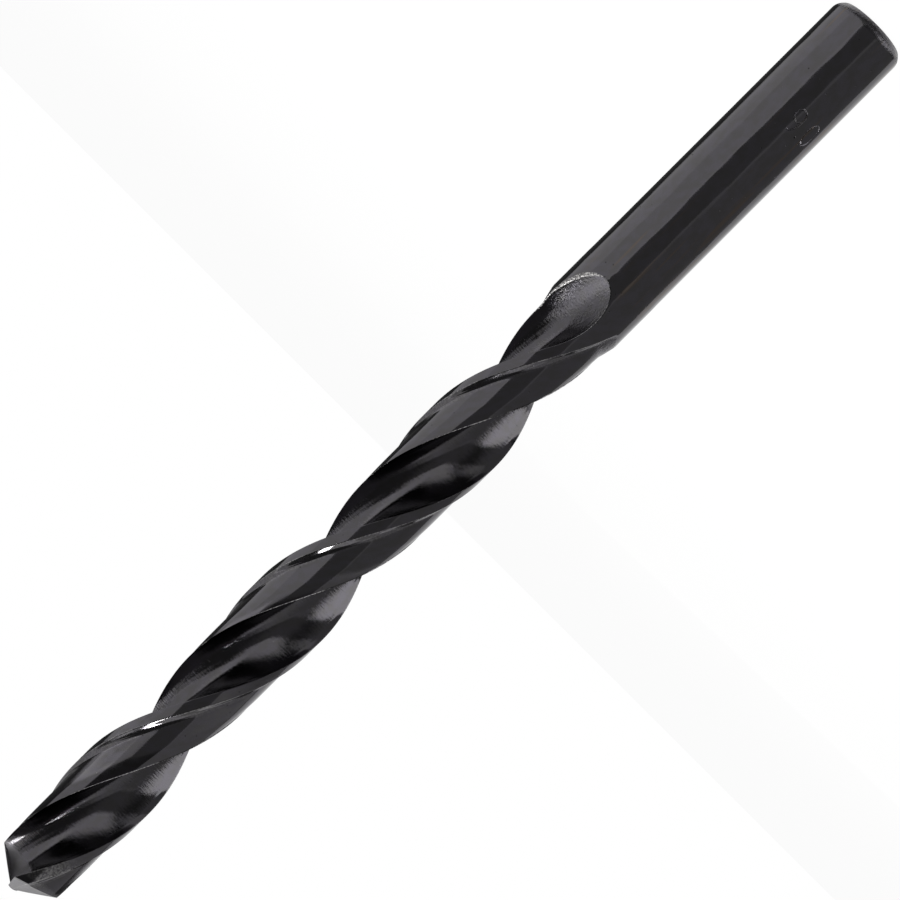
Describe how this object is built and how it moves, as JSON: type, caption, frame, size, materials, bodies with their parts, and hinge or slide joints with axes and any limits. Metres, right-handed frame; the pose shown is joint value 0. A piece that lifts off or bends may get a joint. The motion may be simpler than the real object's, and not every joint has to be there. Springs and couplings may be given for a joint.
{
  "type": "twist drill bit",
  "caption": "Straight-shank twist drill bit for metal: helical flutes with margins, a split cutting point and a chamfered plain shank.",
  "frame": {"origin": "centre of the flat end face of the shank, on the drill's axis", "axes": "+Z along the drill's axis, from the shank's end to the point; the two cutting lips lie parallel to the Y axis"},
  "size_m": [0.009, 0.009, 0.125],
  "materials": {
    "oxide_black_steel": "high speed steel with a glossy black steam-oxide surface, fine grinding marks in the flutes and a duller run-out"
  },
  "bodies": {
    "root": {"drill_bit": "oxide_black_steel"}
  },
  "joints": []
}
